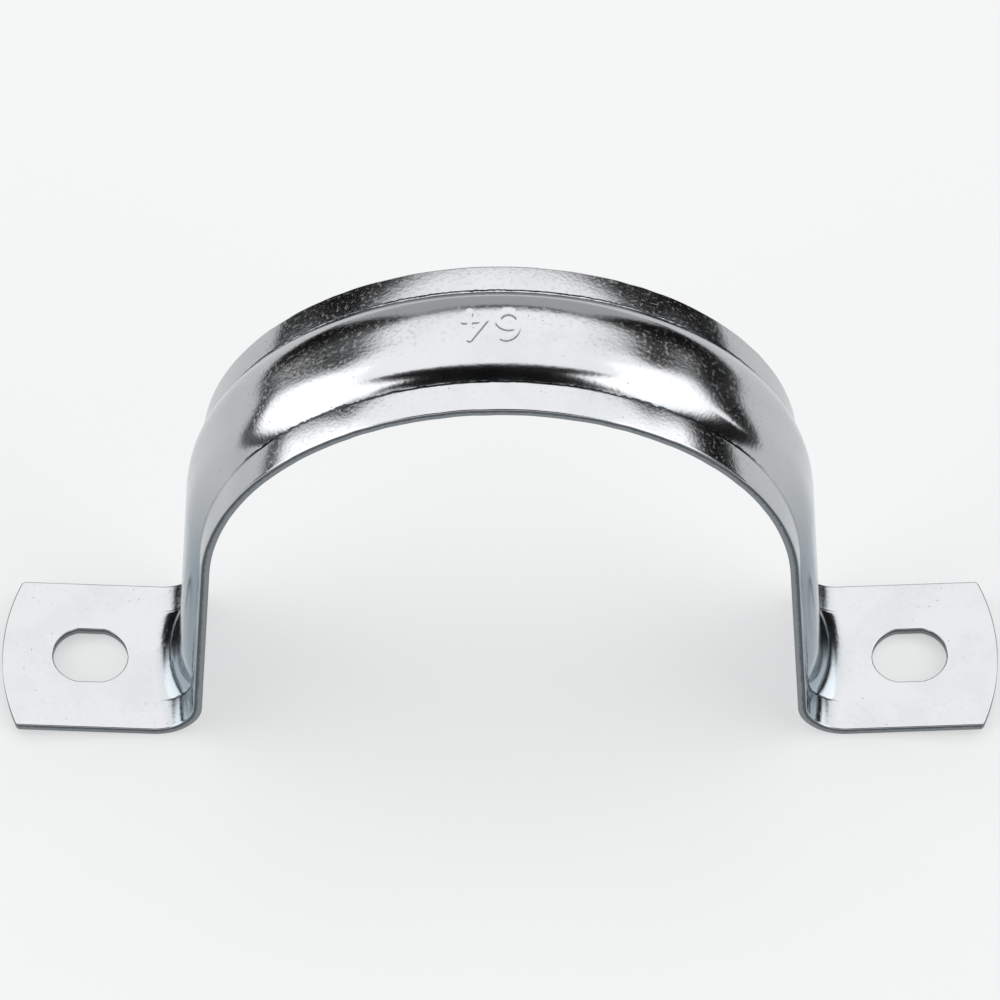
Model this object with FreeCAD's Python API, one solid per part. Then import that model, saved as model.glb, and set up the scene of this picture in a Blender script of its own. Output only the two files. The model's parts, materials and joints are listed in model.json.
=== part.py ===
"""Two-hole conduit strap, pressed from one piece of zinc-plated steel strip.

The strip runs over the pipe as a half-round arch, drops down two straight legs and turns outwards
into two slotted feet. A wide rib is pressed up along the middle of the arch and the legs, and it
dies out in the bends, so that the feet are flat.

Frame: X runs from foot to foot, Y along the pipe, Z up from the wall that the strap is screwed to.
The origin is midway between the feet, level with the underside of the bends. Millimetres.
"""
import FreeCAD
import Part
import math
import os

# Pipe and strip
PIPE_DIAMETER = 63.5
SEAT_CLEARANCE = 0.1
SHEET = 1.0
FOOT_WIDTH = 19.4
EDGE_DRAW_IN = 0.25

# Arch and legs, as the strap springs before it is screwed down
ARCH_CENTRE_HEIGHT = 29.5
SPRING_ANGLE = 3.6
BEND_RADIUS = 4.2

# Rib
RIB_BASE_WIDTH = 11.8
RIB_RISE = 1.6
RIB_FULLNESS = 4
RIB_BEND_TIGHTENING = 0.55
RIB_STATIONS = 10

# Feet
SLOT_FROM_BEND = 7.2
TIP_FROM_SLOT = 9.9
TIP_RADIUS = 25.0
CORNER_RADIUS = 0.6
SLOT_LENGTH = 8.4
SLOT_WIDTH = 7.0
SLOT_FLAT = 2.8

# Spare length that the tools run past the sheet
OVERRUN = 1.0

# Derived sizes
SEAT_RADIUS = PIPE_DIAMETER / 2 + SEAT_CLEARANCE
HEEL_RADIUS = BEND_RADIUS + SHEET
SPRING = math.radians(SPRING_ANGLE)
RIB_HALF = RIB_BASE_WIDTH / 2
RIB_SIDE_ANGLE = math.atan(RIB_RISE * RIB_FULLNESS / RIB_HALF)
GROOVE_HALF = RIB_HALF - SHEET * math.tan(RIB_SIDE_ANGLE / 2)


BEND_CENTRE_X = (
    SEAT_RADIUS + HEEL_RADIUS + (ARCH_CENTRE_HEIGHT - HEEL_RADIUS) * math.sin(SPRING)
) / math.cos(SPRING)
FOOT_START = BEND_CENTRE_X + HEEL_RADIUS * math.sin(SPRING)
SLOT_CENTRE = FOOT_START + SLOT_FROM_BEND
TIP_REACH = SLOT_CENTRE + TIP_FROM_SLOT
ALONG_FOOT = FreeCAD.Vector(math.cos(SPRING), 0, math.sin(SPRING))
OFF_FOOT = FreeCAD.Vector(-math.sin(SPRING), 0, math.cos(SPRING))
BEND_LAND = RIB_RISE + OVERRUN


def polar(centre, radius, angle):
    """The point at `angle` on an upright circle round `centre`, from +X towards +Z."""
    return centre + FreeCAD.Vector(math.cos(angle), 0, math.sin(angle)) * radius


def mirrored(point):
    """The point's twin on the other side of the strap."""
    return FreeCAD.Vector(-point.x, point.y, point.z)


def line(start, end):
    """Straight edge."""
    return Part.LineSegment(start, end).toShape()


def arc(start, middle, end):
    """Round edge through three points."""
    return Part.Arc(start, middle, end).toShape()


def bend_at(radius, y, rise):
    """Centre and radius of the bend at `y`, on the face of the sheet that has `radius` unribbed.

    The leg stands `rise` proud of the pipe there. That moves the bend out along the foot, and the
    bend tightens as the rib dies out in it.
    """
    tightened = RIB_BEND_TIGHTENING * rise
    centre = FreeCAD.Vector(BEND_CENTRE_X, y, HEEL_RADIUS)
    return centre + ALONG_FOOT * (rise - tightened) - OFF_FOOT * tightened, radius - tightened


def foot_bend_end(radius, y, rise):
    """Where the bend meets the flat foot."""
    centre, bend_radius = bend_at(radius, y, rise)
    return polar(centre, bend_radius, 1.5 * math.pi + SPRING)


def face_line(arch_radius, radius, y, rise):
    """Edges of one face of the sheet, from the left foot over the arch to the right one.

    Neighbouring edges share an end and a tangent. Each foot reaches BEND_LAND past its bend.
    """
    bend_centre, bend_radius = bend_at(radius, y, rise)
    arch_centre = FreeCAD.Vector(0, y, ARCH_CENTRE_HEIGHT)
    foot_bend = foot_bend_end(radius, y, rise)
    mid_bend = polar(bend_centre, bend_radius, 1.25 * math.pi + SPRING)
    leg_foot = polar(bend_centre, bend_radius, math.pi + SPRING)
    leg_top = polar(arch_centre, arch_radius, SPRING)
    crown = polar(arch_centre, arch_radius, math.pi / 2)
    foot_end = foot_bend_end(radius, y, 0) + ALONG_FOOT * BEND_LAND
    return [
        line(mirrored(foot_end), mirrored(foot_bend)),
        arc(mirrored(foot_bend), mirrored(mid_bend), mirrored(leg_foot)),
        line(mirrored(leg_foot), mirrored(leg_top)),
        arc(mirrored(leg_top), crown, leg_top),
        line(leg_top, leg_foot),
        arc(leg_foot, mid_bend, foot_bend),
        line(foot_bend, foot_end),
    ]


def section(y):
    """Closed outline of the sheet in the plane at `y`."""
    rib = rise_at(y, RIB_HALF)
    groove = rise_at(y, GROOVE_HALF)
    outer = face_line(SEAT_RADIUS + SHEET + rib, BEND_RADIUS, y, rib)
    inner = face_line(SEAT_RADIUS + groove, HEEL_RADIUS, y, groove)
    right_end = line(end_of(outer[-1]), end_of(inner[-1]))
    left_end = line(start_of(inner[0]), start_of(outer[0]))
    return Part.Wire(outer + [right_end] + inner[::-1] + [left_end])


def start_of(edge):
    """Where an edge starts."""
    return edge.valueAt(edge.FirstParameter)


def end_of(edge):
    """Where an edge ends."""
    return edge.valueAt(edge.LastParameter)


def rise_at(y, half_width):
    """How far the rib, or the groove under it, stands up at `y`.

    It has a full crown, soft shoulders and a crisp crease at `half_width`. The groove is narrower
    than the rib by what keeps the sheet about as thick in the rib's sides as elsewhere.
    """
    share = min(abs(y) / half_width, 1.0)
    return RIB_RISE * (1 - share**RIB_FULLNESS)


def rib_stations():
    """Places across the rib, closer together where its sides get steep."""
    return [
        RIB_HALF * math.sin(math.pi / 2 * step / RIB_STATIONS)
        for step in range(-RIB_STATIONS, RIB_STATIONS + 1)
    ]


def foot_plate(mirror):
    """Flat of a foot, from the bend's land to past its tip, wider than the strip."""
    edge = FOOT_WIDTH / 2 + OVERRUN
    to_land = ALONG_FOOT * BEND_LAND
    to_end = ALONG_FOOT * (BEND_LAND + SLOT_FROM_BEND + TIP_FROM_SLOT)
    top = foot_bend_end(BEND_RADIUS, -edge, 0)
    under = foot_bend_end(HEEL_RADIUS, -edge, 0)
    corners = [top + to_land, top + to_end, under + to_end, under + to_land]
    if mirror:
        corners = [mirrored(corner) for corner in corners]
    outline = Part.makePolygon(corners + corners[:1])
    return Part.Face(outline).extrude(FreeCAD.Vector(0, 2 * edge, 0))


def pressed_sheet():
    """The bent and ribbed strip, before its ends and slots are cut."""
    rib = Part.makeLoft([section(y) for y in rib_stations()], True, True)
    flange_width = FOOT_WIDTH / 2 + OVERRUN - RIB_HALF
    flanges = [
        Part.Face(section(side * RIB_HALF)).extrude(FreeCAD.Vector(0, side * flange_width, 0))
        for side in (-1, 1)
    ]
    return rib.fuse(flanges + [foot_plate(False), foot_plate(True)])


def blank_outline():
    """Upright prism over the plan of the strip, with round ends and slightly drawn-in sides."""
    foot_y = FOOT_WIDTH / 2
    arch_y = foot_y - EDGE_DRAW_IN
    leg_x = BEND_CENTRE_X - HEEL_RADIUS
    corner_x = TIP_REACH - (TIP_RADIUS - math.sqrt(TIP_RADIUS**2 - foot_y**2))
    side = [(-corner_x, foot_y), (-FOOT_START, foot_y), (-leg_x, arch_y)]
    side += [(-x, y) for x, y in side[::-1]]
    far = [FreeCAD.Vector(x, y, -OVERRUN) for x, y in side]
    near = [FreeCAD.Vector(x, -y, -OVERRUN) for x, y in side[::-1]]
    right_tip = FreeCAD.Vector(TIP_REACH, 0, -OVERRUN)
    edges = [line(a, b) for a, b in zip(far, far[1:])]
    edges += [arc(far[-1], right_tip, near[0])]
    edges += [line(a, b) for a, b in zip(near, near[1:])]
    edges += [arc(near[-1], mirrored(right_tip), far[0])]
    height = ARCH_CENTRE_HEIGHT + SEAT_RADIUS + RIB_RISE + SHEET + 2 * OVERRUN
    prism = Part.Face(Part.Wire(edges)).extrude(FreeCAD.Vector(0, 0, height))
    corners = [
        edge
        for edge in prism.Edges
        if edge.BoundBox.ZLength > height / 2 and abs(abs(start_of(edge).x) - corner_x) < SHEET / 2
    ]
    return prism.makeFillet(CORNER_RADIUS, corners)


def slot_punch(centre_x):
    """Upright punch for a foot's slot: two flats and two round ends of equal radius."""
    half_flat = SLOT_FLAT / 2
    half_width = SLOT_WIDTH / 2
    half_length = SLOT_LENGTH / 2
    depth = SHEET + HEEL_RADIUS + OVERRUN

    def at(x, y):
        return FreeCAD.Vector(centre_x + x, y, -OVERRUN)

    edges = [
        line(at(-half_flat, half_width), at(half_flat, half_width)),
        arc(at(half_flat, half_width), at(half_length, 0), at(half_flat, -half_width)),
        line(at(half_flat, -half_width), at(-half_flat, -half_width)),
        arc(at(-half_flat, -half_width), at(-half_length, 0), at(-half_flat, half_width)),
    ]
    return Part.Face(Part.Wire(edges)).extrude(FreeCAD.Vector(0, 0, depth))


def strap():
    """The finished strap."""
    trimmed = pressed_sheet().common(blank_outline())
    punches = [slot_punch(side * SLOT_CENTRE) for side in (-1, 1)]
    return trimmed.cut(punches).removeSplitter()


def main():
    """Build the strap and write it out."""
    os.makedirs("parts", exist_ok=True)
    shape = strap()
    shape.exportStep("parts/strap.step")


main()
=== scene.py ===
"""Looks of a two-hole conduit strap: one piece of pressed, zinc-plated steel strip.

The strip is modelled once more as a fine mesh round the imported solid's own sizes, with what a
press leaves on the real one: rolled and burred edges, a nicked crease at the foot of the rib,
a stamped size number, and the grain of plated cold-rolled steel. Lengths are in millimetres in the
classes that shape the strip, and in metres in Blender.
"""

import json
import logging
import math
from dataclasses import dataclass, field
from enum import Enum
from typing import Any, Iterable, Optional, Sequence

import bmesh
import bpy
import numpy as np
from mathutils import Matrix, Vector

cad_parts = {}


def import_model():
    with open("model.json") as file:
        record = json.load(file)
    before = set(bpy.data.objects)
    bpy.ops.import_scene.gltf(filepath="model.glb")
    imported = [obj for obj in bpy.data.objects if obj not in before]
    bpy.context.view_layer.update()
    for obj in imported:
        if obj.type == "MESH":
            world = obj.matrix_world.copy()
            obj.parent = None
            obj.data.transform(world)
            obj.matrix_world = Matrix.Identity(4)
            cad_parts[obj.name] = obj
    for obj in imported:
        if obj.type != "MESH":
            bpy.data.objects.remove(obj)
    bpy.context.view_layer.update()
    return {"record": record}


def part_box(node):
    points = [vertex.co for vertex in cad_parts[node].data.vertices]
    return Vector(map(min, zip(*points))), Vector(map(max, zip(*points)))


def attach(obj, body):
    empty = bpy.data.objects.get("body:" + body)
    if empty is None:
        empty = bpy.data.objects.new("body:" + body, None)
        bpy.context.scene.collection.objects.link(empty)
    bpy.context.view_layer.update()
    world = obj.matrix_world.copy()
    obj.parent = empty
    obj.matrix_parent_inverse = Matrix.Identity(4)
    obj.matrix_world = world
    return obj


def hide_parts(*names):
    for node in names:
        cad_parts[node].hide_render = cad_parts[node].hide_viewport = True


LOG = logging.getLogger("conduit_strap")
MM = 0.001
STRIP_ATTRIBUTE = "strip_mm"
PLATED, SHEARED = 0, 1
WELD_MM = 0.002
WANDER_KNOTS = 512


def linear(hex_colour: str) -> tuple[float, float, float, float]:
    """Turn an sRGB hex colour into linear RGBA.

    Args:
        hex_colour: Six hex digits with a leading #.

    Returns:
        Red, green, blue and an alpha of 1.
    """
    channels = [int(hex_colour[i : i + 2], 16) / 255 for i in (1, 3, 5)]
    values = [c / 12.92 if c <= 0.04045 else ((c + 0.055) / 1.055) ** 2.4 for c in channels]
    return (values[0], values[1], values[2], 1.0)


def add_node(
    tree: bpy.types.NodeTree,
    kind: str,
    settings: Optional[dict[str, Any]] = None,
    inputs: Optional[dict[Any, Any]] = None,
) -> bpy.types.Node:
    """Add a node with its settings and links.

    Args:
        tree: Node tree that takes the node.
        kind: Blender's type name of the node.
        settings: Properties of the node by name.
        inputs: Values or output sockets by input name or number.

    Returns:
        The new node.
    """
    node = tree.nodes.new(kind)
    for name, value in (settings or {}).items():
        setattr(node, name, value)
    for name, value in (inputs or {}).items():
        socket = node.inputs[name]
        if isinstance(value, bpy.types.NodeSocket):
            tree.links.new(value, socket)
        else:
            socket.default_value = value
    return node


def new_material(name: str) -> tuple[bpy.types.Material, bpy.types.NodeTree]:
    """Make an empty node material.

    Args:
        name: Name of the finish.

    Returns:
        The material and its cleared node tree.
    """
    material = bpy.data.materials.new(name)
    material.use_nodes = True
    material.node_tree.nodes.clear()
    return material, material.node_tree


def smooth_step(value: np.ndarray, low: float, high: float) -> np.ndarray:
    """Rise smoothly from 0 at low to 1 at high.

    Args:
        value: Any numbers.
        low: Where the step starts.
        high: Where the step ends.

    Returns:
        The step at each number.
    """
    share = np.clip((value - low) / (high - low), 0, 1)
    return share * share * (3 - 2 * share)


def wander(places: np.ndarray, wavelength: float, seed: int) -> np.ndarray:
    """Smooth random walk between about -1 and 1, the same in each run.

    Args:
        places: Where to read it, in millimetres.
        wavelength: Distance between its random knots, in millimetres.
        seed: Which walk.

    Returns:
        The walk at each place.
    """
    knots = np.random.default_rng(seed).uniform(-1, 1, WANDER_KNOTS)
    at = places / wavelength + WANDER_KNOTS / 2
    index = np.floor(at).astype(int)
    share = smooth_step(at - index, 0, 1)
    following = knots[(index + 1) % WANDER_KNOTS]
    return knots[index % WANDER_KNOTS] * (1 - share) + following * share


class Face(Enum):
    """The two faces of the strip."""

    OUTER = "outer"
    INNER = "inner"


class Side(Enum):
    """The two halves of the strap, by the sign of X."""

    LEFT = -1
    RIGHT = 1


@dataclass(frozen=True)
class ZincPlate:
    """Bright electroplated zinc on cold-rolled steel strip.

    Thin clear-passivated zinc keeps the strip's rolled grain, so it mirrors its surroundings
    softly, and the edges of dark reflections break up into a pale mottle. The dark line along the
    crease at the foot of the rib is painted shade, a colour over the shallow groove there. The
    bending die rubs the legs, which calms their grain; their greyer, bluer colour is partly that
    rubbing and partly painted shade, for the darker reflection the legs show. A span gives the
    values at which a zone starts and is full.
    """

    bright: str = "#babbbd"
    bluish: str = "#b5b8ba"
    # leg colour: partly the die's rubbing, partly painted shade for the legs' darker reflection
    rubbed: str = "#939fa6"
    pit: str = "#868e93"
    # painted shade: colour of the dark line along the crease at the foot of the rib
    painted_crease_shade: str = "#343b3f"
    roughness: float = 0.13
    haze_roughness: float = 0.17
    speck_roughness: float = 0.26
    grain_mm: float = 0.4
    grain_height_mm: float = 0.0085
    speck_mm: float = 0.5
    wave_mm: float = 2.6
    wave_height_mm: float = 0.004
    haze_mm: float = 7.0
    haze_span: tuple[float, float] = (0.4, 0.7)
    speck_span: tuple[float, float] = (0.5, 0.7)
    pit_mm: float = 1.5
    pit_share: float = 0.042
    pit_depth_mm: float = 0.012
    # raggedness, place and reach of the painted crease shade, along the arch and across the bends
    ragged_mm: float = 0.7
    ragged_reach_mm: float = 0.35
    crease_at_mm: float = 5.9
    far_shift_mm: float = 0.27
    crease_half_mm: float = 0.14
    crease_fade_mm: float = 30.0
    crease_end_mm: float = 36.0
    bend_line_span_mm: tuple[float, float] = (63.0, 70.0)
    foot_line_span_mm: tuple[float, float] = (80.0, 78.0)
    bend_line_share: float = 0.8
    outer_depth_span_mm: tuple[float, float] = (0.5, 0.3)
    ironed_mm: float = 4.0
    ironed_fade_mm: float = 0.6
    rib_fade_mm: float = 0.2
    feet_from_mm: float = 80.0
    feet_fade_mm: float = 4.0
    # where the legs' rubbing and painted shade start and are full
    rub_from_mm: float = 36.0
    rub_full_mm: float = 56.0
    rub_calm: float = 0.75

    def build(self) -> bpy.types.Material:
        """Make the plated finish.

        Returns:
            The material.
        """
        material, tree = new_material("zinc_plated_cold_rolled_steel")
        masks = self.masks(tree)
        colour: Any = linear(self.bright)
        for share, tint in (
            ("haze", self.bluish),
            # legs: partly rubbing, partly painted shade
            ("rubbed", self.rubbed),
            ("pitted", self.pit),
            # painted shade along the crease at the foot of the rib
            ("crease", self.painted_crease_shade),
        ):
            tones = {"Factor": masks[share], "A": colour, "B": linear(tint)}
            mix = add_node(tree, "ShaderNodeMix", {"data_type": "RGBA"}, tones)
            colour = mix.outputs["Result"]
        roughness: Any = self.roughness
        for share, rougher in (("haze", self.haze_roughness), ("specks", self.speck_roughness)):
            levels = {"Factor": masks[share], "A": roughness, "B": rougher}
            mix = add_node(tree, "ShaderNodeMix", {"data_type": "FLOAT"}, levels)
            roughness = mix.outputs["Result"]
        surface = {"Base Color": colour, "Metallic": 1.0, "Roughness": roughness}
        for height, depth_mm in (
            ("wave", self.wave_height_mm),
            ("grain", self.grain_height_mm),
            ("pitted", -self.pit_depth_mm),
        ):
            relief = {"Strength": 1.0, "Distance": abs(depth_mm) * MM, "Height": masks[height]}
            if "Normal" in surface:
                relief["Normal"] = surface["Normal"]
            bump = add_node(tree, "ShaderNodeBump", {"invert": depth_mm < 0}, relief)
            surface["Normal"] = bump.outputs["Normal"]
        shader = add_node(tree, "ShaderNodeBsdfPrincipled", inputs=surface)
        add_node(tree, "ShaderNodeOutputMaterial", inputs={"Surface": shader.outputs["BSDF"]})
        return material

    def masks(self, tree: bpy.types.NodeTree) -> dict[str, Any]:
        """Lay out where each feature of the plate lies, by its place on the strip.

        Args:
            tree: Node tree of the finish.

        Returns:
            Output sockets by the feature's name.
        """
        strip = add_node(tree, "ShaderNodeAttribute", {"attribute_name": STRIP_ATTRIBUTE})
        place = strip.outputs["Vector"]
        axes = add_node(tree, "ShaderNodeSeparateXYZ", inputs={"Vector": place}).outputs
        found: dict[str, Any] = {"x": axes["X"], "y": axes["Y"], "depth": axes["Z"]}
        for name, size_mm, detail in (
            ("clouds", self.haze_mm, 3.0),
            ("dust", self.speck_mm, 3.0),
            ("rags", self.ragged_mm, 3.0),
            ("wave", self.wave_mm, 1.0),
            ("rolled", self.grain_mm, 2.0),
        ):
            sizes = {"Vector": place, "Scale": 1 / size_mm, "Detail": detail}
            found[name] = add_node(tree, "ShaderNodeTexNoise", inputs=sizes).outputs["Fac"]
        cells = {"Vector": place, "Scale": 1 / self.pit_mm}
        found["cells"] = add_node(tree, "ShaderNodeTexVoronoi", inputs=cells).outputs["Distance"]
        ragged, crease, pit = self.ragged_reach_mm, self.crease_half_mm, self.pit_share
        crown, rib, feet = self.ironed_mm, self.crease_at_mm, self.feet_from_mm
        for name, operation, *terms in (
            ("reach", "ABSOLUTE", "x"),
            ("width", "ABSOLUTE", "y"),
            ("haze", "SMOOTHSTEP", "clouds", *self.haze_span),
            ("off_crown", "SMOOTHSTEP", "width", crown - self.ironed_fade_mm, crown),
            ("on_rib", "SMOOTHSTEP", "width", rib + self.rib_fade_mm, rib),
            ("on_side", "MULTIPLY", "off_crown", "on_rib"),
            ("off_side", "SUBTRACT", 1.0, "on_side"),
            ("dusty", "SMOOTHSTEP", "dust", *self.speck_span),
            ("specks", "MULTIPLY", "dusty", "off_side"),
            # painted crease shade: a ragged dark line along the rib's creases, on the arch and
            # across the bends
            ("far", "GREATER_THAN", "y", 0.0),
            ("from_crease", "MULTIPLY_ADD", "far", -self.far_shift_mm, -rib),
            ("across", "ADD", "width", "from_crease"),
            ("ragged", "MULTIPLY_ADD", "rags", ragged, -ragged / 2),
            ("uneven", "ADD", "across", "ragged"),
            ("off_crease", "ABSOLUTE", "uneven"),
            ("in_crease", "SMOOTHSTEP", "off_crease", crease, crease * 0.4),
            ("on_arch", "SMOOTHSTEP", "reach", self.crease_end_mm, self.crease_fade_mm),
            ("past_leg", "SMOOTHSTEP", "reach", *self.bend_line_span_mm),
            ("before_foot", "SMOOTHSTEP", "reach", *self.foot_line_span_mm),
            ("on_bend", "MULTIPLY", "past_leg", "before_foot"),
            ("faint", "MULTIPLY", "on_bend", self.bend_line_share),
            ("along", "MAXIMUM", "on_arch", "faint"),
            ("outside", "SMOOTHSTEP", "depth", *self.outer_depth_span_mm),
            ("thin_line", "MULTIPLY", "in_crease", "along"),
            ("crease", "MULTIPLY", "thin_line", "outside"),
            ("pitted", "SMOOTHSTEP", "cells", pit * 1.6, pit * 0.4),
            # legs: rubbing and painted shade; the rubbing also calms the grain
            ("worn", "SMOOTHSTEP", "reach", self.rub_from_mm, self.rub_full_mm),
            ("off_foot", "SMOOTHSTEP", "reach", feet, feet - self.feet_fade_mm),
            ("rubbed", "MULTIPLY", "worn", "off_foot"),
            ("calm", "MULTIPLY_ADD", "rubbed", -self.rub_calm, 1.0),
            ("grain", "MULTIPLY", "rolled", "calm"),
        ):
            values = [found[term] if isinstance(term, str) else term for term in terms]
            if operation == "SMOOTHSTEP":
                span = dict(zip(("Value", "From Min", "From Max"), values))
                settings = {"interpolation_type": operation}
                node = add_node(tree, "ShaderNodeMapRange", settings, span)
            else:
                numbered = dict(enumerate(values))
                node = add_node(tree, "ShaderNodeMath", {"operation": operation}, numbered)
            found[name] = node.outputs[0]
        return found


@dataclass(frozen=True)
class ShearedEdge:
    """Sheared edge of the strip, under a plate of little thickness.

    The shear leaves a burnish band and a torn one, so the edge is matt, darker than the faces
    and lined across the thickness. The burnish band is coloured darker than the torn one, partly
    for its own finish and partly as painted shade, for the shadowed floor that it mirrors.
    """

    # burnish band: partly its own colour, partly painted shade of the shadowed floor it mirrors
    burnished_and_painted_shade: str = "#555b5f"
    torn: str = "#868c8f"
    roughness: float = 0.42
    line_mm: float = 0.4
    line_height_mm: float = 0.035
    line_stretch: tuple[float, float, float] = (1.0, 0.3, 0.3)
    tear_raggedness: float = 0.5
    tear_span: tuple[float, float] = (0.55, 0.85)

    def build(self) -> bpy.types.Material:
        """Make the sheared finish.

        Returns:
            The material.
        """
        material, tree = new_material("sheared_zinc_plated_edge")
        strip = add_node(tree, "ShaderNodeAttribute", {"attribute_name": STRIP_ATTRIBUTE})
        place = strip.outputs["Vector"]
        drawn = {"Vector": place, "Scale": self.line_stretch}
        across = add_node(tree, "ShaderNodeMapping", inputs=drawn).outputs["Vector"]
        noise = {"Vector": across, "Scale": 1 / self.line_mm, "Detail": 3.0, "Roughness": 0.6}
        lines = add_node(tree, "ShaderNodeTexNoise", inputs=noise).outputs["Fac"]
        depth = add_node(tree, "ShaderNodeSeparateXYZ", inputs={"Vector": place}).outputs["Z"]
        terms = {0: lines, 1: self.tear_raggedness, 2: depth}
        ragged = add_node(tree, "ShaderNodeMath", {"operation": "MULTIPLY_ADD"}, terms)
        low, high = self.tear_span
        tear = {"Value": ragged.outputs["Value"], "From Min": low, "From Max": high}
        bands = add_node(tree, "ShaderNodeMapRange", {"interpolation_type": "SMOOTHSTEP"}, tear)
        torn = bands.outputs["Result"]
        # the upper burnish band is painted darker, partly as painted shade
        tones = {"Factor": torn, "A": linear(self.burnished_and_painted_shade), "B": linear(self.torn)}
        metal = add_node(tree, "ShaderNodeMix", {"data_type": "RGBA"}, tones)
        relief = {"Strength": 1.0, "Distance": self.line_height_mm * MM, "Height": lines}
        bump = add_node(tree, "ShaderNodeBump", inputs=relief)
        surface = {
            "Base Color": metal.outputs["Result"],
            "Metallic": 1.0,
            "Roughness": self.roughness,
            "Normal": bump.outputs["Normal"],
        }
        shader = add_node(tree, "ShaderNodeBsdfPrincipled", inputs=surface)
        add_node(tree, "ShaderNodeOutputMaterial", inputs={"Surface": shader.outputs["BSDF"]})
        return material


@dataclass(frozen=True)
class SizeStamp:
    """Plain size number struck into the crown, read from the far side.

    Each figure is a list of strokes in a cell one wide and one high, with the origin at its
    bottom left corner.
    """

    figures: str = "64"
    width: float = 2.1
    height: float = 3.4
    pitch: float = 3.45
    stroke: float = 0.6
    depth: float = 0.065
    wall: float = 0.2
    centre_x: float = -0.85
    centre_y: float = 0.3

    def strokes(self, figure: str) -> list[np.ndarray]:
        """Centre lines of one figure.

        Args:
            figure: The figure, 6 or 4.

        Returns:
            Point lists in the figure's cell.
        """
        if figure == "6":
            turn = np.linspace(0, 2 * math.pi, 33)
            bowl = np.stack([0.5 + 0.5 * np.cos(turn), 0.3 + 0.3 * np.sin(turn)], 1)
            sweep = np.linspace(math.pi, 0.42 * math.pi, 17)
            back = np.stack([0.62 + 0.62 * np.cos(sweep), 0.3 + 0.7 * np.sin(sweep)], 1)
            return [bowl, back]
        return [np.array([(0.74, 0.0), (0.74, 1.0), (0.0, 0.3), (1.0, 0.3)])]

    def sink(self, x: np.ndarray, y: np.ndarray) -> np.ndarray:
        """Depth of the stamp at points of the crown.

        Args:
            x: Distance along the strip from the crown's middle.
            y: Place across the strip.

        Returns:
            Depth below the plain crown.
        """
        distance = np.full(x.shape, 1e9)
        shift = (len(self.figures) - 1) / 2
        for index, figure in enumerate(self.figures):
            across = -(x - self.centre_x) - (index - shift) * self.pitch + self.width / 2
            upward = -(y - self.centre_y) + self.height / 2
            for line in self.strokes(figure):
                points = line * np.array([self.width, self.height])
                for start, end in zip(points[:-1], points[1:]):
                    run = end - start
                    ahead = (across - start[0]) * run[0] + (upward - start[1]) * run[1]
                    share = np.clip(ahead / (run @ run), 0, 1)
                    gap = np.hypot(
                        across - start[0] - share * run[0], upward - start[1] - share * run[1]
                    )
                    distance = np.minimum(distance, gap)
        inner, outer = (self.stroke - self.wall) / 2, (self.stroke + self.wall) / 2
        return self.depth * (1 - smooth_step(distance, inner, outer))


@dataclass
class StripSizes:
    """Sizes of the strip in millimetres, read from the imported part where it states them."""

    seat_radius: float
    arch_height: float
    spring: float
    half_width: float
    tip_reach: float
    slot_centre: float
    slot_half_length: float
    slot_half_width: float
    sheet: float = 1.0
    bend: float = 4.2
    bend_tightening: float = 0.55
    draw_in: float = 0.25
    rib_half: float = 5.9
    groove_half: float = 5.46
    rib_rise: float = 1.6
    rib_fullness: float = 4.0
    tip_radius: float = 25.0
    corner_radius: float = 0.6
    slot_half_flat: float = 1.4
    land_spare: float = 0.5

    @classmethod
    def from_frame(cls, record: dict[str, Any]) -> "StripSizes":
        """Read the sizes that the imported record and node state.

        Args:
            record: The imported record.

        Returns:
            The strip's sizes.
        """
        mounts = {mount["name"]: mount for mount in record["mounts"]}
        seat, slots = mounts["pipe_seat"], mounts["foot_slots"]
        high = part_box("strap")[1]
        seat_radius, arch_height = seat["dims"]["r_mm"], seat["pos_m"][2] / MM
        return cls(
            seat_radius=seat_radius,
            arch_height=arch_height,
            rib_rise=high.z / MM - arch_height - seat_radius - cls.sheet,
            spring=math.asin(mounts["right_foot_face"]["axis"][0]),
            half_width=high.y / MM,
            tip_reach=high.x / MM,
            slot_centre=slots["dims"]["spacing_x_mm"] / 2,
            slot_half_length=slots["dims"]["slot_length_mm"] / 2,
            slot_half_width=slots["dims"]["hole_r_mm"],
        )

    @property
    def heel(self) -> float:
        """Radius of the bend on its underside."""
        return self.bend + self.sheet

    @property
    def bend_centre_x(self) -> float:
        """X of the bend's centre at the flanges.

        Returns:
            The distance from the strap's middle.
        """
        reach = self.seat_radius + self.heel
        drop = (self.arch_height - self.heel) * math.sin(self.spring)
        return (reach + drop) / math.cos(self.spring)

    @property
    def foot_start(self) -> float:
        """X where the flat underside of a foot starts."""
        return self.bend_centre_x + self.heel * math.sin(self.spring)

    @property
    def land_run(self) -> float:
        """Length of the flat land between the bend and the foot's plate."""
        return self.rib_rise + self.land_spare

    @property
    def land_x(self) -> float:
        """X where the foot's plate takes over from the bent strip."""
        return self.foot_start + self.land_run

    def foot_z(self, x: np.ndarray, depth: np.ndarray) -> np.ndarray:
        """Height of a foot.

        Args:
            x: Distance of each point from the strap's middle.
            depth: Depth of each point below the upper face.

        Returns:
            Height of each point.
        """
        level = self.heel - (self.bend + depth) / math.cos(self.spring)
        return level + (x - self.bend_centre_x) * math.tan(self.spring)


@dataclass(frozen=True)
class Column:
    """One line along the strip: where it lies across the width and through the thickness."""

    y: float
    depth: float
    face: Face
    edge: bool = False


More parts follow.
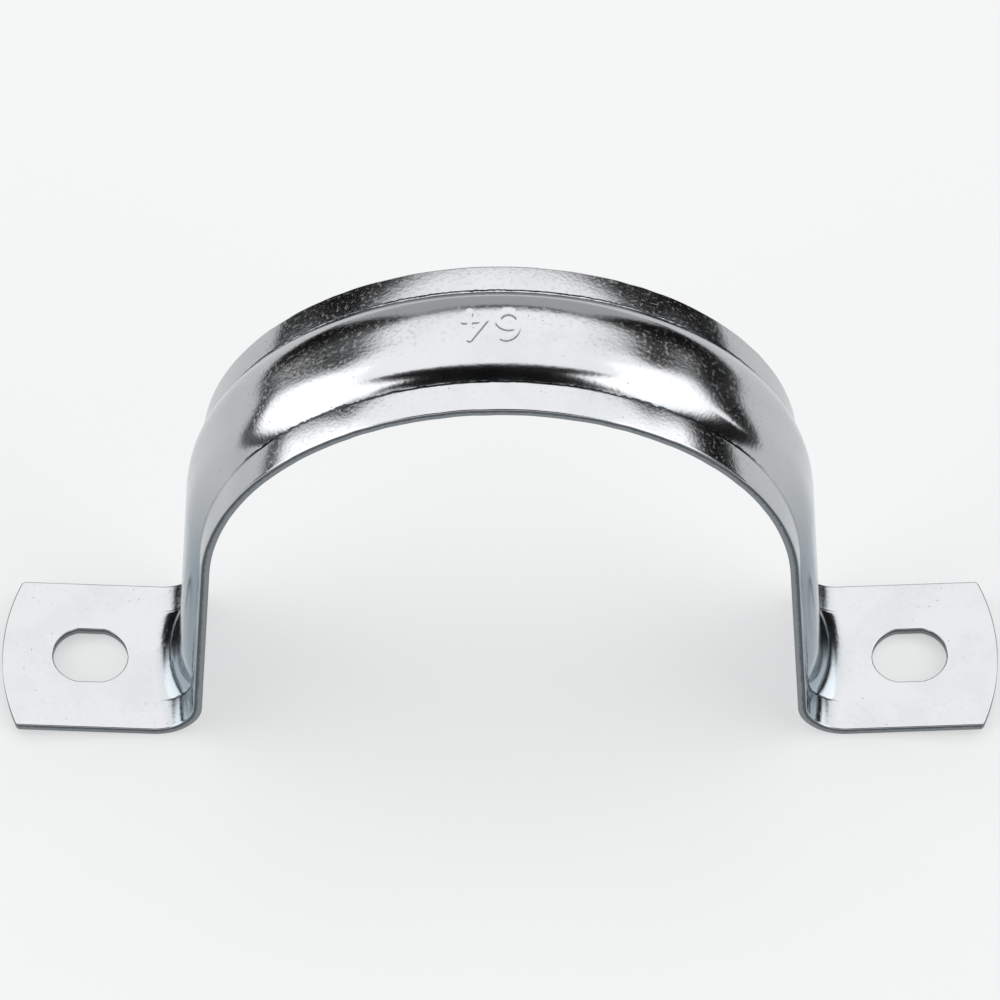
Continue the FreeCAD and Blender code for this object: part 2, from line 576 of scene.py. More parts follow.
@dataclass(frozen=True)
class PressMark:
    """Ragged line that the corner of the bending die leaves across the bend, near the foot."""

    share: float = 0.8
    raggedness: float = 0.035
    ragged_mm: float = 0.5
    sway: float = 0.03
    sway_mm: float = 2.1
    wear: float = 0.4
    wear_mm: float = 0.7
    seeds: tuple[int, int, int] = (41, 42, 43)
    width: float = 0.024
    depth: float = 0.045
    reach: float = 6.6
    fade: float = 1.0

    def sink(self, share: float, y: np.ndarray) -> np.ndarray:
        """Depth of the mark.

        Args:
            share: Share of the bend, from the leg to the foot.
            y: Place across the strip.

        Returns:
            Depth below the plain bend.
        """
        ragged_seed, sway_seed, wear_seed = self.seeds
        line = self.share + self.raggedness * wander(y, self.ragged_mm, ragged_seed)
        line = line + self.sway * wander(y, self.sway_mm, sway_seed)
        strength = 1 - self.wear + self.wear * wander(y, self.wear_mm, wear_seed)
        fade_out = 1 - smooth_step(np.abs(y), self.reach - self.fade, self.reach + self.fade)
        return self.depth * strength * fade_out * np.exp(-(((share - line) / self.width) ** 2))


@dataclass
class StripGrid:
    """Rows and columns that cover the bent strip from one foot's plate to the other.

    The mesh is finest at the creases and under the stamp. A share of a stretch runs from its end
    nearer the crown.
    """

    sizes: StripSizes
    stamp: SizeStamp
    mark: PressMark = field(default_factory=PressMark)
    roll: float = 0.16
    burr: float = 0.05
    nick_width: float = 0.15
    near_nick: float = 0.02
    far_groove: float = 0.05
    groove_width: float = 0.26
    groove_wall: float = 0.08
    fillet_fullness: float = 2.2
    near_bow: float = 0.2
    far_bow: float = 0.12
    crease_wander: float = 0.03
    edge_wander: float = 0.035
    crease_slow_mm: float = 1.1
    crease_slow_share: float = 0.6
    crease_quick_mm: float = 0.45
    crease_hold: float = 0.7
    edge_mm: float = 1.6
    near_seed: int = 11
    far_seed: int = 23
    bead_share: float = 0.5
    bead_mm: float = 0.45
    bead_seed: int = 61
    bead_fade_mm: tuple[float, float] = (24.0, 34.0)
    nick_spread: float = 0.45
    groove_lead: float = 0.06
    rounded_from_leg: float = 0.7
    rounded_full_bend: float = 0.5
    crease_steps: Sequence[float] = (0.38, 0.33, 0.29, 0.25, 0.21, 0.14, 0.08, 0.03, -0.02, -0.09)
    flange_from_rib: float = 0.5
    flange_from_groove: float = 0.2
    guard_pitch: float = 0.06
    side_pitch: float = 0.18
    side_lines: int = 9
    fine_pitch: float = 0.1
    crown_pitch: float = 0.3
    crown_half: float = 4.2
    least_gap: float = 0.05
    stamp_margin: float = 0.4
    flange_lines: int = 7
    inner_flange_lines: int = 5
    groove_lines: int = 16
    arch_rows: int = 104
    leg_rows: int = 40
    bend_rows: int = 48
    land_rows: int = 5

    def edge_profile(self) -> list[tuple[float, float]]:
        """Section of a sheared edge.

        Returns:
            Inset and depth down the edge, from the outer face to the inner one.
        """
        sheet, roll, burr = self.sizes.sheet, self.roll, self.burr
        rolled = [
            (roll * (1 - math.sin(a)), roll * (1 - math.cos(a)))
            for a in np.linspace(0, math.pi / 2, 5)
        ]
        torn = [
            (burr * (1 - math.cos(a)), sheet - burr * (1 - math.sin(a)))
            for a in np.linspace(0, math.pi / 2, 3)
        ]
        return rolled + torn

    def outer_places(self) -> np.ndarray:
        """Places across the outer face, fine at the creases and under the stamp.

        Returns:
            The places, from the near edge to the far one.
        """
        sizes = self.sizes
        edge, rib = sizes.half_width - self.roll, sizes.rib_half
        flange = np.linspace(edge, rib + self.flange_from_rib, self.flange_lines)
        flange = np.insert(flange, 1, flange[0] - self.guard_pitch)
        crease = rib + np.array(self.crease_steps)
        side = rib - self.nick_width - self.side_pitch * np.arange(0, self.side_lines)
        stamp_low = self.stamp.centre_y - self.stamp.height / 2 - self.stamp_margin
        stamp_high = self.stamp.centre_y + self.stamp.height / 2 + self.stamp_margin
        fine = np.arange(stamp_low, stamp_high, self.fine_pitch)
        coarse = np.arange(-self.crown_half, self.crown_half, self.crown_pitch)
        coarse = coarse[(coarse < stamp_low) | (coarse > stamp_high)]
        half = np.concatenate([flange, crease, side])
        side_end = half.min()
        middle = np.concatenate([coarse, fine])
        middle = middle[np.abs(middle) < side_end - self.least_gap]
        return np.unique(np.round(np.concatenate([-half, middle, half]), 5))

    def inner_places(self) -> np.ndarray:
        """Places across the inner face.

        Returns:
            The places, from the near edge to the far one.
        """
        sizes = self.sizes
        edge, start = sizes.half_width - self.burr, sizes.groove_half + self.flange_from_groove
        flange = np.linspace(edge, start, self.inner_flange_lines)
        flange = np.insert(flange, 1, flange[0] - self.guard_pitch)
        groove = sizes.groove_half * np.sin(np.linspace(0, math.pi / 2, self.groove_lines))
        half = np.concatenate([flange, groove])
        return np.unique(np.round(np.concatenate([-half, half]), 5))

    def columns(self) -> list[Column]:
        """The ring of lines round the strip, starting at the near edge of its outer face.

        Returns:
            Columns in order: outer face, far edge, inner face, near edge.
        """
        half_width = self.sizes.half_width
        outer = [Column(y, 0.0, Face.OUTER) for y in self.outer_places()]
        inner = [Column(y, self.sizes.sheet, Face.INNER) for y in self.inner_places()[::-1]]
        profile = self.edge_profile()[1:-1]
        far = [Column(half_width - inset, depth, Face.OUTER, True) for inset, depth in profile]
        near = [Column(-column.y, column.depth, Face.OUTER, True) for column in far[::-1]]
        return outer + far + inner + near

    def slots(self) -> list[int]:
        """Finish of the faces after each column.

        Returns:
            Sheared on the cut edges below their roll-over, and plated elsewhere.
        """
        columns = self.columns()
        found = []
        for column, following in zip(columns, columns[1:] + columns[:1]):
            cut = column.edge and following.edge
            below = min(column.depth, following.depth) >= self.roll * 0.5
            found.append(SHEARED if cut and below else PLATED)
        return found

    def rise(self, y: np.ndarray, face: Face, along: float) -> np.ndarray:
        """How far a face stands above a plain arch.

        Args:
            y: Places across the face.
            face: Which face.
            along: Distance along the strip from the crown.

        Returns:
            The rise at each place.
        """
        sizes = self.sizes
        half = sizes.rib_half if face is Face.OUTER else sizes.groove_half
        share = np.minimum(np.abs(y) / half, 1)
        start = self.distance("leg", self.rounded_from_leg)
        full = self.distance("bend", self.rounded_full_bend)
        rounding = smooth_step(np.array(abs(along)), start, full)
        fullness = sizes.rib_fullness + (self.fillet_fullness - sizes.rib_fullness) * rounding
        rib = sizes.rib_rise * (1 - share**fullness)
        if face is Face.INNER:
            return rib
        places = np.array([along])
        beads = 1 + self.bead_share * wander(places, self.bead_mm, self.bead_seed)[0]
        beads *= 1 - smooth_step(np.array(abs(along)), *self.bead_fade_mm)
        off = np.abs(y) - half
        near = self.near_nick * np.exp(-((off / (self.nick_width * self.nick_spread)) ** 2))
        wall = self.groove_wall / 2
        far = smooth_step(off, -self.groove_lead, 0.0)
        far = far * (1 - smooth_step(off, self.groove_width - wall, self.groove_width + wall))
        nick = np.where(y > 0, self.far_groove * beads * far, near)
        beyond = np.clip((np.abs(y) - half) / (sizes.half_width - half), 0, 1)
        return rib - nick - self.bow(y) * beyond**2

    def bow(self, y: np.ndarray) -> np.ndarray:
        """How far each flange droops at its edge."""
        return np.where(y > 0, self.far_bow, self.near_bow)

    def half_rows(self) -> list[tuple[str, float]]:
        """Rows from the crown to the right foot's plate.

        Returns:
            The stretch that each row lies on, and how far along it.
        """
        stamp = self.stamp
        stamp_half = stamp.pitch / 2 * len(stamp.figures)
        stamp_reach = stamp_half + abs(stamp.centre_x) + self.stamp_margin
        arch_length = self.distance("arch", 1.0)
        fine = np.arange(0, stamp_reach, self.fine_pitch)
        coarse = np.linspace(stamp_reach, arch_length, self.arch_rows)
        arch = np.concatenate([fine, coarse]) / arch_length
        rows = [("arch", share) for share in arch]
        counts = {"leg": self.leg_rows, "bend": self.bend_rows, "land": self.land_rows}
        for stretch, count in counts.items():
            rows += [(stretch, share) for share in np.linspace(0, 1, count)[1:]]
        return rows

    def points(self) -> tuple[np.ndarray, np.ndarray]:
        """Lay every row and column out.

        Returns:
            Points and strip coordinates, each of shape rows, columns and three, left to right.
        """
        right = [self.row(stretch, share, Side.RIGHT) for stretch, share in self.half_rows()]
        left = [self.row(stretch, share, Side.LEFT) for stretch, share in self.half_rows()]
        rows = left[:0:-1] + right
        return np.array([row[0] for row in rows]), np.array([row[1] for row in rows])

    def row(self, stretch: str, share: float, side: Side) -> tuple[np.ndarray, np.ndarray]:
        """Points of one row.

        Args:
            stretch: arch, leg, bend or land.
            share: How far along the stretch the row lies.
            side: Which half of the strap.

        Returns:
            The row's points and its strip coordinates.
        """
        sizes = self.sizes
        columns = self.columns()
        plain_y = np.array([column.y for column in columns])
        depth = np.array([column.depth for column in columns])
        outer = np.array([column.face is Face.OUTER for column in columns])
        along = self.distance(stretch, share) * side.value
        y = self.drawn_in(plain_y, stretch, share, along)
        outer_rise = self.rise(plain_y, Face.OUTER, along)
        rise = np.where(outer, outer_rise, self.rise(plain_y, Face.INNER, along))
        on_edge = np.array([column.edge for column in columns])
        rise = np.where(on_edge, -self.bow(plain_y), rise)
        on_top = outer & (depth == 0)
        if stretch == "arch":
            rise = rise - np.where(on_top, self.stamp.sink(np.full(y.shape, along), y), 0)
        if stretch == "bend":
            rise = rise - np.where(on_top, self.mark.sink(share, y), 0)
        if stretch == "land":
            rise = np.where(on_top & (rise < 0) | on_edge, rise * (1 - share), rise)
        x, z = self.section(stretch, share, depth, rise)
        strip = np.stack([np.full(y.shape, along), plain_y, depth], 1)
        return np.stack([x * side.value, y, z], 1), strip

    def distance(self, stretch: str, share: float) -> float:
        """Distance along the strip from the crown, for the grain and the wander.

        Args:
            stretch: arch, leg, bend or land.
            share: How far along the stretch.

        Returns:
            The distance.
        """
        sizes = self.sizes
        arch = (sizes.seat_radius + sizes.sheet) * (math.pi / 2 - sizes.spring)
        leg = sizes.arch_height - sizes.heel
        bend = sizes.bend * math.pi / 2
        before = {"arch": 0.0, "leg": arch, "bend": arch + leg, "land": arch + leg + bend}
        length = {"arch": arch, "leg": leg, "bend": bend, "land": sizes.land_run}
        return before[stretch] + share * length[stretch]

    def drawn_in(self, y: np.ndarray, stretch: str, share: float, along: float) -> np.ndarray:
        """Shift columns for the drawn-in sides and the unevenness of the creases and edges.

        Args:
            y: Plain places across the strip.
            stretch: arch, leg, bend or land.
            share: How far along the stretch the row lies.
            along: Distance along the strip from the crown.

        Returns:
            The places of the columns on this row.
        """
        sizes = self.sizes
        on_foot = {"arch": 0.0, "leg": 0.0, "bend": share, "land": 1.0}[stretch]
        calm = 1 - {"bend": share, "land": 1.0}.get(stretch, 0.0)
        places = np.array([along])
        half = np.abs(y)
        moved = np.empty_like(y)
        for sign, seed in ((-1, self.near_seed), (1, self.far_seed)):
            mine = y > 0 if sign > 0 else y <= 0
            slow = self.crease_slow_share * wander(places, self.crease_slow_mm, seed)[0]
            quick_share = 1 - self.crease_slow_share
            quick = quick_share * wander(places, self.crease_quick_mm, seed + 1)[0]
            crease = self.crease_wander * calm * (slow + quick)
            edge = self.edge_wander * calm * (wander(places, self.edge_mm, seed + 2)[0] - 1)
            crease_at = sizes.rib_half + crease
            edge_at = sizes.half_width - sizes.draw_in * (1 - on_foot) + edge
            hold = smooth_step(half, sizes.rib_half - self.crease_hold, sizes.rib_half)
            within = half + crease * hold
            beyond = crease_at + (half - sizes.rib_half) * (edge_at - crease_at) / (
                sizes.half_width - sizes.rib_half
            )
            moved = np.where(mine, sign * np.where(half <= sizes.rib_half, within, beyond), moved)
        return moved

    def section(
        self, stretch: str, share: float, depth: np.ndarray, rise: np.ndarray
    ) -> tuple[np.ndarray, np.ndarray]:
        """X and Z of points of the right half.

        Args:
            stretch: arch, leg, bend or land.
            share: How far along the stretch the row lies.
            depth: Depth of each point below the outer face.
            rise: How far each point stands proud of a plain strip.

        Returns:
            X and Z of each point.
        """
        sizes = self.sizes
        cos, sin = math.cos(sizes.spring), math.sin(sizes.spring)
        arch_radius = sizes.seat_radius + sizes.sheet - depth + rise
        tightened = sizes.bend_tightening * np.maximum(rise, 0)
        bend_radius = sizes.bend + depth - tightened
        centre_x = sizes.bend_centre_x + (rise - tightened) * cos + tightened * sin
        centre_z = sizes.heel + (rise - tightened) * sin - tightened * cos
        if stretch == "arch":
            angle = share * (math.pi / 2 - sizes.spring)
            return arch_radius * math.sin(angle), sizes.arch_height + arch_radius * math.cos(angle)
        if stretch == "leg":
            top_x, top_z = arch_radius * cos, sizes.arch_height + arch_radius * sin
            foot_x, foot_z = centre_x - bend_radius * cos, centre_z - bend_radius * sin
            return top_x + (foot_x - top_x) * share, top_z + (foot_z - top_z) * share
        angle = math.pi + sizes.spring + (share if stretch == "bend" else 1.0) * math.pi / 2
        x = centre_x + bend_radius * math.cos(angle)
        z = centre_z + bend_radius * math.sin(angle)
        if stretch == "bend":
            return x, z
        run = (sizes.land_x - x) * share
        return x + run, z + run * sin / cos


@dataclass
class FootPlate:
    """Flat, slotted end of the strip, from its land to its round tip."""

    grid: StripGrid
    side: Side
    rings: int = 7
    rim_shares: tuple[float, float] = (0.012, 0.988)
    side_points: int = 22
    corner_points: int = 7
    tip_points: int = 33

    def add_to(self, builder: "MeshBuilder") -> None:
        """Add the plate: two faces, the free edge and the slot's wall.

        Args:
            builder: Takes the plate.
        """
        sizes, profile = self.grid.sizes, self.grid.edge_profile()
        flipped = self.side is Side.LEFT
        free = self.outline()
        inward = self.inward(free)
        edge = np.stack([free + inward * inset for inset, _ in profile], 1)
        turns: dict[Face, np.ndarray] = {}
        for face, places, depth, inset in (
            (Face.OUTER, self.grid.outer_places(), 0.0, profile[0][0]),
            (Face.INNER, self.grid.inner_places(), sizes.sheet, profile[-1][0]),
        ):
            land = np.stack([np.full(len(places), sizes.land_x), places], 1)[1:-1]
            loop = np.concatenate([free + inward * inset, land])
            turns[face] = np.arctan2(loop[:, 1], loop[:, 0] - sizes.slot_centre)
            slot_rim = self.slot_at(turns[face], inset)
            shares = np.sort(np.append(np.linspace(0, 1, self.rings), self.rim_shares))
            if face is Face.INNER:
                shares = shares[:-1]
            shares = shares[:, None, None]
            rings = loop[None] * (1 - shares) + slot_rim[None] * shares
            points, strip = self.lay(rings, np.full(rings.shape[:2], depth))
            turned = flipped if face is Face.OUTER else not flipped
            builder.add_grid(points, strip, [PLATED] * len(loop), True, turned)
        turn = np.sort(turns[Face.OUTER])
        self.join_inner_face(builder, rings[-1], turn, not flipped)
        turn = np.append(turn, turn[0])
        wall = np.stack([self.slot_at(turn, inset) for inset, _ in profile], 1)
        for section, turned in ((edge, flipped), (wall, flipped)):
            depths = np.tile([depth for _, depth in profile], (len(section), 1))
            points, strip = self.lay(section, depths)
            builder.add_grid(points, strip, self.edge_slots(), False, turned)

    def join_inner_face(
        self, builder: "MeshBuilder", ring: np.ndarray, turn: np.ndarray, flipped: bool
    ) -> None:
        """Join the underside's last ring to the foot of the slot's wall, which has other points.

        Args:
            builder: Takes the triangles.
            ring: Plan of the underside's last ring.
            turn: Directions of the wall's points from the slot's middle, in rising order.
            flipped: Whether the faces turn the other way.
        """
        inset, depth = self.grid.edge_profile()[-1]
        ring_turn = np.arctan2(ring[:, 1], ring[:, 0] - self.grid.sizes.slot_centre)
        order = np.argsort(ring_turn)
        sides = []
        for plan, turns in ((ring[order], ring_turn[order]), (self.slot_at(turn, inset), turn)):
            closed = np.concatenate([plan, plan[:1]])
            points, strip = self.lay(closed, np.full(len(closed), depth))
            sides.append((points, strip, np.append(turns, turns[0] + 2 * math.pi)))
        builder.add_join(sides[0], sides[1], PLATED, flipped)

    def lay(self, plan: np.ndarray, depth: np.ndarray) -> tuple[np.ndarray, np.ndarray]:
        """Put plan points at their depth on the foot.

        Args:
            plan: X and Y of each point, on the right foot.
            depth: Depth of each point below the upper face.

        Returns:
            Points and strip coordinates.
        """
        sizes = self.grid.sizes
        x, y = plan[..., 0], plan[..., 1]
        along = (self.grid.distance("land", 1.0) + x - sizes.land_x) * self.side.value
        points = np.stack([x * self.side.value, y, sizes.foot_z(x, depth)], -1)
        return points, np.stack([along, y, depth], -1)

    def edge_slots(self) -> list[int]:
        """Finish of each face down a sheared edge: its roll-over is plated like the faces."""
        profile = self.grid.edge_profile()
        return [SHEARED if depth >= self.grid.roll * 0.5 else PLATED for _, depth in profile]

    @staticmethod
    def inward(points: np.ndarray) -> np.ndarray:
        """Directions into the plate along its free edge.

        Args:
            points: Plan of the free edge.

        Returns:
            A unit direction at each point.
        """
        ahead = np.gradient(points, axis=0)
        ahead[0] = (1.0, 0.0)
        ahead[-1] = (-1.0, 0.0)
        ahead /= np.linalg.norm(ahead, axis=1)[:, None]
        return np.stack([ahead[:, 1], -ahead[:, 0]], 1)

    def outline(self) -> np.ndarray:
        """Plan of the free edge, from the land's far end round the tip to its near end.

        Returns:
            Points, X and Y, evenly enough spaced for a smooth edge.
        """
        sizes = self.grid.sizes
        half = sizes.half_width
        tip_centre = sizes.tip_reach - sizes.tip_radius
        inner_radius = sizes.tip_radius - sizes.corner_radius
        corner_y = half - sizes.corner_radius
        corner_x = tip_centre + math.sqrt(inner_radius**2 - corner_y**2)
        lean = math.atan2(corner_y, corner_x - tip_centre)
        side_x = np.linspace(sizes.land_x, corner_x, self.side_points)[:-1]
        side = [(x, half) for x in side_x]
        rounding = sizes.corner_radius
        corner = [
            (corner_x + rounding * math.cos(a), corner_y + rounding * math.sin(a))
            for a in np.linspace(math.pi / 2, lean, self.corner_points)
        ]
        tip = [
            (tip_centre + sizes.tip_radius * math.cos(a), sizes.tip_radius * math.sin(a))
            for a in np.linspace(lean, -lean, self.tip_points)[1:-1]
        ]
        far = side + corner
        return np.array(far + tip + [(x, -y) for x, y in far[::-1]])

    def slot_at(self, angle: np.ndarray, grow: float) -> np.ndarray:
        """Points of the slot's rim, by their direction from its middle.

        Args:
            angle: Directions from the slot's middle.
            grow: How far outside the slot's wall the points lie.

        Returns:
            Points, X and Y.
        """
        sizes = self.grid.sizes
        flat, half = sizes.slot_half_flat, sizes.slot_half_width
        bulge = sizes.slot_half_length - flat
        radius = (bulge**2 + half**2) / (2 * bulge)
        centre = sizes.slot_half_length - radius
        cos, sin = np.abs(np.cos(angle)), np.abs(np.sin(angle))
        to_flat = (half + grow) / np.maximum(sin, 1e-9)
        reach = radius + grow
        to_round = centre * cos + np.sqrt(np.maximum(reach**2 - (centre * sin) ** 2, 0))
        distance = np.minimum(to_flat, to_round)
        return np.stack(
            [sizes.slot_centre + distance * np.cos(angle), distance * np.sin(angle)], 1
        )


class MeshBuilder:
    """Collects grids of points, welds where they meet and makes one mesh."""

    def __init__(self) -> None:
        """Start with nothing."""
        self.points: list[np.ndarray] = []
        self.strip: list[np.ndarray] = []
        self.faces: list[tuple[int, ...]] = []
        self.slots: list[int] = []
        self.count = 0

    def add_grid(
        self,
        points: np.ndarray,
        strip: np.ndarray,
        slots: Sequence[int],
        closed: bool,
        flipped: bool = False,
    ) -> None:
        """Add a grid of quads.

        Args:
            points: Rows by columns by three.
            strip: Strip coordinates of the same shape.
            slots: Material slot of the faces after each column.
            closed: Whether the last column joins the first.
            flipped: Whether the faces turn the other way.
        """
        rows, columns = points.shape[:2]
        base = self.count
        self.points.append(points.reshape(-1, 3))
        self.strip.append(strip.reshape(-1, 3))
        self.count += rows * columns
        spans = columns if closed else columns - 1
        for row in range(rows - 1):
            for column in range(spans):
                following = (column + 1) % columns
                a = base + row * columns + column
                b = base + row * columns + following
                c = base + (row + 1) * columns + following
                d = base + (row + 1) * columns + column
                self.faces.append((a, b, c, d) if flipped else (d, c, b, a))
                self.slots.append(slots[column])

    def add_join(
        self,
        outer: tuple[np.ndarray, np.ndarray, np.ndarray],
        inner: tuple[np.ndarray, np.ndarray, np.ndarray],
        slot: int,
        flipped: bool,
    ) -> None:
        """Join two rings of unlike points by triangles, in the order of their directions.

        Args:
            outer: Points, strip coordinates and rising directions of the wider ring.
            inner: The same of the ring inside it.
            slot: Material slot of the triangles.
            flipped: Whether the faces turn the other way.
        """
        bases = []
        for points, strip, _ in (outer, inner):
            bases.append(self.count)
            self.points.append(points)
            self.strip.append(strip)
            self.count += len(points)
        i, j, outer_end, inner_end = 0, 0, len(outer[2]) - 1, len(inner[2]) - 1
        while i < outer_end or j < inner_end:
            outer_next = outer[2][i + 1] if i < outer_end else math.inf
            inner_next = inner[2][j + 1] if j < inner_end else math.inf
            if outer_next <= inner_next:
                face = (bases[0] + i, bases[0] + i + 1, bases[1] + j)
                i += 1
            else:
                face = (bases[0] + i, bases[1] + j + 1, bases[1] + j)
                j += 1
            self.faces.append(face[::-1] if flipped else face)
            self.slots.append(slot)

    def build(self, name: str, materials: Sequence[bpy.types.Material]) -> bpy.types.Object:
        """Weld the grids and make the object.

        Args:
            name: Name of the piece.
            materials: Finishes by slot.

        Returns:
            The new object, in metres.
        """
        points = np.concatenate(self.points)
        strip = np.concatenate(self.strip)
        keys = np.round(points / WELD_MM).astype(np.int64)
        _, first, inverse = np.unique(keys, axis=0, return_index=True, return_inverse=True)
        inverse = inverse.ravel()
        welded = [tuple(inverse[list(face)]) for face in self.faces]
        kept = [(face, slot) for face, slot in zip(welded, self.slots) if len(set(face)) > 2]
        faces = [tuple(dict.fromkeys(int(i) for i in face)) for face, _ in kept]
        mesh = bpy.data.meshes.new(name)
        mesh.from_pydata((points[first] * MM).tolist(), [], faces)
        mesh.polygons.foreach_set("material_index", [slot for _, slot in kept])
        mesh.polygons.foreach_set("use_smooth", [True] * len(faces))
        layer = mesh.attributes.new(STRIP_ATTRIBUTE, "FLOAT_VECTOR", "POINT")
        layer.data.foreach_set("vector", strip[first].astype(np.float32).ravel())
        for material in materials:
            mesh.materials.append(material)
        solid = bmesh.new()
        solid.from_mesh(mesh)
        bmesh.ops.remove_doubles(solid, verts=solid.verts, dist=WELD_MM * MM)
        open_edges = sum(not (edge.is_manifold and edge.is_contiguous) for edge in solid.edges)
        volume = solid.calc_volume(signed=True) / MM**3
        LOG.info("%s: %d open or turned edges, %.1f mm3", name, open_edges, volume)
        solid.to_mesh(mesh)
        solid.free()
        mesh.update()
        piece = bpy.data.objects.new(name, mesh)
        bpy.context.scene.collection.objects.link(piece)
        return piece


@dataclass
class PressedStrap:
    """The strap: bent, ribbed and stamped strip with a slotted plate at each end."""

    sizes: StripSizes
    plate: ZincPlate = field(default_factory=ZincPlate)
    edge: ShearedEdge = field(default_factory=ShearedEdge)
    stamp: SizeStamp = field(default_factory=SizeStamp)

    def build(self) -> bpy.types.Object:
        """Make the strap and dress it.

        Returns:
            The finished piece, riding on the part's only body.
        """
        grid = StripGrid(self.sizes, self.stamp)
        builder = MeshBuilder()
        points, strip = grid.points()
        builder.add_grid(points, strip, grid.slots(), closed=True)
        for side in Side:
            FootPlate(grid, side).add_to(builder)
        piece = builder.build("pressed_strap", [self.plate.build(), self.edge.build()])
        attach(piece, "root")
        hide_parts("strap")
        return piece


@dataclass(frozen=True)
class SoftBox:
    """A soft light far off, as a window in the sky's turn and height, in degrees."""

    turn: float
    half_turn: float
    low: float
    high: float
    strength: float
    soft: float = 4.0


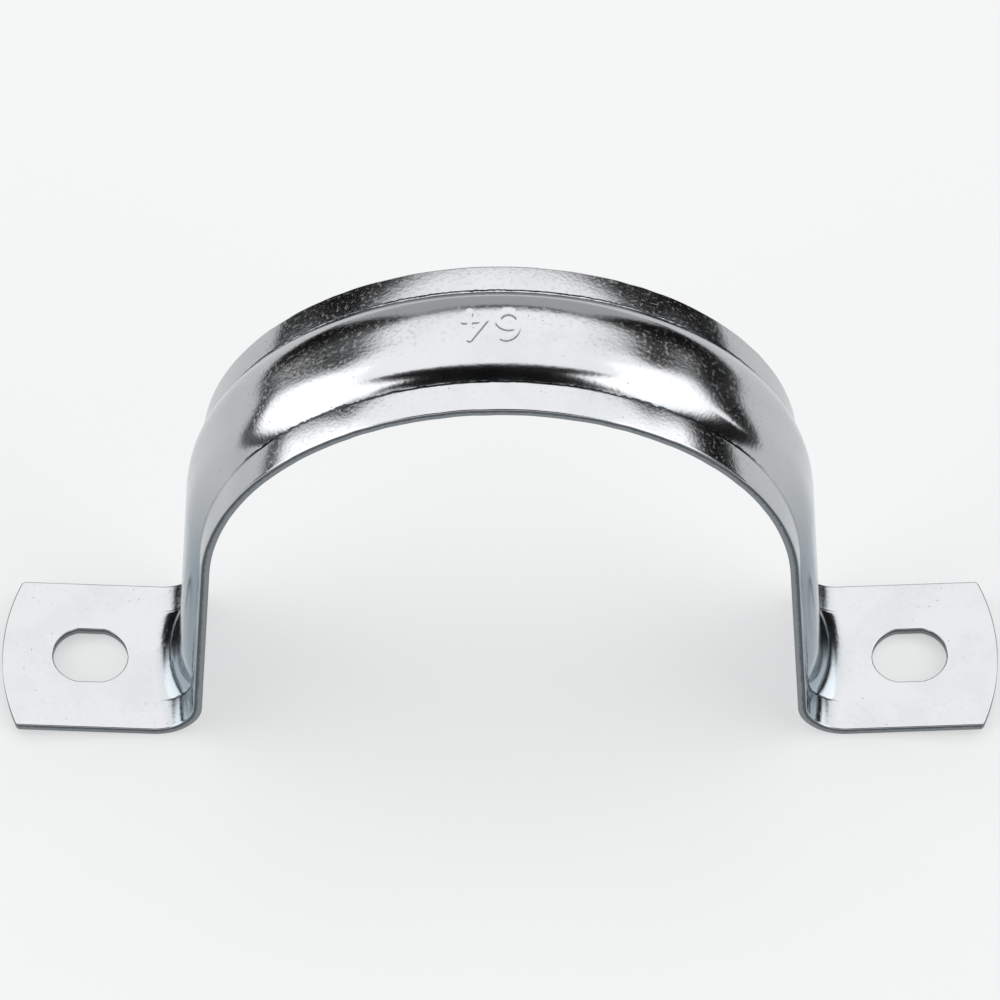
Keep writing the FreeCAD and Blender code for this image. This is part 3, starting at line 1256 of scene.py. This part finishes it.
@dataclass
class Studio:
    """Pale floor, soft surroundings and the camera."""

    camera_height_deg: float = 55.14
    camera_distance: float = 0.85
    camera_aim: float = 0.0183
    lens: float = 271.05
    sensor: float = 36.0
    far_clip: float = 20.0
    floor_half: float = 1.5
    floor_colour: str = "#d9dbdc"
    floor_glow: float = 0.5
    flag_distance: float = 0.36
    flag_height: float = 0.05
    boxes: tuple[SoftBox, ...] = (
        SoftBox(-97.5, 41, 0, 44, 2.2),
        SoftBox(98.5, 43, 13, 52, 2.2),
        SoftBox(0, 30, -6, 36, 0.62, 3.0),
        SoftBox(-160, 22, -4, 28, 0.9, 3.0),
        SoftBox(160, 22, -4, 28, 0.9, 3.0),
    )
    ceiling: float = 1.68
    ceiling_middle: float = 72.0
    ceiling_half: float = 29.0
    dim: float = 0.004

    def build(self) -> None:
        """Set the floor, the surroundings, the camera and the view."""
        self.add_floor()
        self.add_flags()
        self.add_world()
        self.add_camera()
        bpy.context.scene.view_settings.view_transform = "Standard"

    def add_floor(self) -> None:
        """Add the pale floor that the strap stands on."""
        half = self.floor_half
        mesh = bpy.data.meshes.new("floor")
        corners = [(-half, -half, 0), (half, -half, 0), (half, half, 0), (-half, half, 0)]
        mesh.from_pydata(corners, [], [(0, 1, 2, 3)])
        floor = bpy.data.objects.new("floor", mesh)
        bpy.context.scene.collection.objects.link(floor)
        material, tree = new_material("matt_white_card")
        matt = {"Color": linear(self.floor_colour), "Roughness": 0.0}
        card = add_node(tree, "ShaderNodeBsdfDiffuse", inputs=matt)
        glow = {"Color": linear("#ffffff"), "Strength": 1.0}
        white = add_node(tree, "ShaderNodeEmission", inputs=glow)
        path = add_node(tree, "ShaderNodeLightPath").outputs
        seen = path["Is Camera Ray"]
        for operation, other in (
            ("MAXIMUM", path["Is Glossy Ray"]),
            ("MAXIMUM", path["Is Transmission Ray"]),
            ("MULTIPLY", self.floor_glow),
        ):
            step = add_node(tree, "ShaderNodeMath", {"operation": operation}, {0: seen, 1: other})
            seen = step.outputs[0]
        mixed = {0: seen, 1: card.outputs["BSDF"], 2: white.outputs["Emission"]}
        shader = add_node(tree, "ShaderNodeMixShader", inputs=mixed)
        add_node(tree, "ShaderNodeOutputMaterial", inputs={"Surface": shader.outputs["Shader"]})
        mesh.materials.append(material)

    def add_flags(self) -> None:
        """Stand a low black card on each side, for the dark line between floor and soft box."""
        material, tree = new_material("black_flocked_card")
        felt = add_node(tree, "ShaderNodeBsdfDiffuse", inputs={"Color": linear("#0b0b0c")})
        add_node(tree, "ShaderNodeOutputMaterial", inputs={"Surface": felt.outputs["BSDF"]})
        for side in Side:
            x, top = side.value * self.flag_distance, self.flag_height
            reach = 2 * self.flag_distance
            corners = [(x, -reach, 0), (x, reach, 0), (x, reach, top), (x, -reach, top)]
            mesh = bpy.data.meshes.new(f"flag_{side.name.lower()}")
            mesh.from_pydata(corners, [], [(0, 1, 2, 3)])
            mesh.materials.append(material)
            flag = bpy.data.objects.new(mesh.name, mesh)
            flag.visible_camera = False
            flag.visible_diffuse = False
            flag.visible_shadow = False
            bpy.context.scene.collection.objects.link(flag)

    def add_world(self) -> None:
        """Light the scene from a dim room with soft boxes and a bright ceiling."""
        world = bpy.data.worlds.new("studio")
        bpy.context.scene.world = world
        world.use_nodes = True
        tree = world.node_tree
        tree.nodes.clear()
        direction = add_node(tree, "ShaderNodeTexCoord").outputs["Generated"]
        axes = add_node(tree, "ShaderNodeSeparateXYZ", inputs={"Vector": direction}).outputs
        angles = {}
        for name, operation, terms in (
            ("turn", "ARCTAN2", {0: axes["X"], 1: axes["Y"]}),
            ("height", "ARCSINE", {0: axes["Z"]}),
            ("tilt", "ARCTAN2", {0: axes["Z"], 1: axes["Y"]}),
        ):
            angle = add_node(tree, "ShaderNodeMath", {"operation": operation}, terms)
            angles[name] = angle.outputs[0]
        everywhere, roof_soft = 90.0, 4.0
        roof = ("tilt", self.ceiling_middle, self.ceiling_half, roof_soft)
        lights = [(self.ceiling, roof, ("height", 0.0, 2 * everywhere, roof_soft))]
        for box in self.boxes:
            sideways = ("turn", box.turn, box.half_turn, box.soft)
            middle, half = (box.low + box.high) / 2, (box.high - box.low) / 2
            lights.append((box.strength, sideways, ("height", middle, half, box.soft)))
        total: Any = self.dim
        for strength, *windows in lights:
            lit: Any = strength
            for name, middle, half, soft in windows:
                turned = {0: angles[name], 1: math.radians(middle)}
                signed = add_node(tree, "ShaderNodeMath", {"operation": "SUBTRACT"}, turned)
                size = {0: signed.outputs[0]}
                off = add_node(tree, "ShaderNodeMath", {"operation": "ABSOLUTE"}, size)
                edge = {
                    "Value": off.outputs[0],
                    "From Min": math.radians(half - soft),
                    "From Max": math.radians(half + soft),
                    "To Min": 1.0,
                    "To Max": 0.0,
                }
                smooth = {"interpolation_type": "SMOOTHSTEP"}
                window = add_node(tree, "ShaderNodeMapRange", smooth, edge)
                passed = {0: lit, 1: window.outputs[0]}
                step = add_node(tree, "ShaderNodeMath", {"operation": "MULTIPLY"}, passed)
                lit = step.outputs[0]
            brighter = {0: total, 1: lit}
            step = add_node(tree, "ShaderNodeMath", {"operation": "MAXIMUM"}, brighter)
            total = step.outputs[0]
        white = {"Color": linear("#ffffff"), "Strength": total}
        sky = add_node(tree, "ShaderNodeBackground", inputs=white).outputs["Background"]
        add_node(tree, "ShaderNodeOutputWorld", inputs={"Surface": sky})

    def add_camera(self) -> None:
        """Add the camera, in front of the strap and above it."""
        tilt = math.radians(self.camera_height_deg)
        ahead = Vector((0, math.cos(tilt), -math.sin(tilt)))
        upward = Vector((0, math.sin(tilt), math.cos(tilt)))
        data = bpy.data.cameras.new("camera")
        data.sensor_width = self.sensor
        data.lens = self.lens
        data.clip_end = self.far_clip
        camera = bpy.data.objects.new("camera", data)
        camera.location = upward * self.camera_aim - ahead * self.camera_distance
        camera.rotation_euler = (math.pi / 2 - tilt, 0.0, 0.0)
        bpy.context.scene.collection.objects.link(camera)
        bpy.context.scene.camera = camera


def main() -> None:
    """Load the frame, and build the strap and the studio."""
    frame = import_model()
    sizes = StripSizes.from_frame(frame["record"])
    strap = PressedStrap(sizes).build()
    triangles = sum(len(polygon.vertices) - 2 for polygon in strap.data.polygons)
    LOG.info("%s: %d triangles", strap.name, triangles)
    Studio().build()


if __name__ == "__main__":
    logging.basicConfig(level=logging.INFO)
    main()
